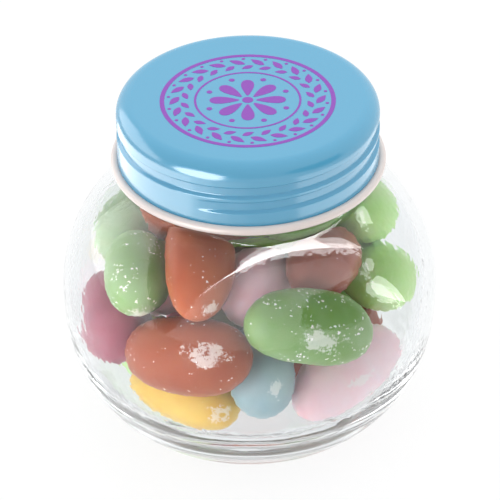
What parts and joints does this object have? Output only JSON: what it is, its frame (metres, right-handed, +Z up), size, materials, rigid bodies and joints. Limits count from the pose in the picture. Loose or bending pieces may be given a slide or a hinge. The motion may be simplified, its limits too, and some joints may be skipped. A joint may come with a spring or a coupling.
{
  "type": "jar of jelly beans",
  "caption": "Small round clear glass jar with a flat screw lid of enamelled tinplate, filled to the shoulder with assorted jelly beans.",
  "frame": {"origin": "middle of the jar's base, on the surface that it stands on", "axes": "+Z up through the lid; -Y towards the front, where the pressed groove of the lid starts; +X to the right"},
  "size_m": [0.06, 0.06, 0.0585],
  "materials": {
    "clear_glass": "smooth moulded",
    "lid_enamel": "semi-gloss enamel",
    "lid_lacquer": "satin lacquer",
    "lid_print": "satin ink",
    "bean_shell": "polished sugar shell"
  },
  "bodies": {
    "root": {"glass_jar": "clear_glass", "screw_lid": "lid_enamel", "jelly_bean_heap": "bean_shell"}
  },
  "joints": []
}
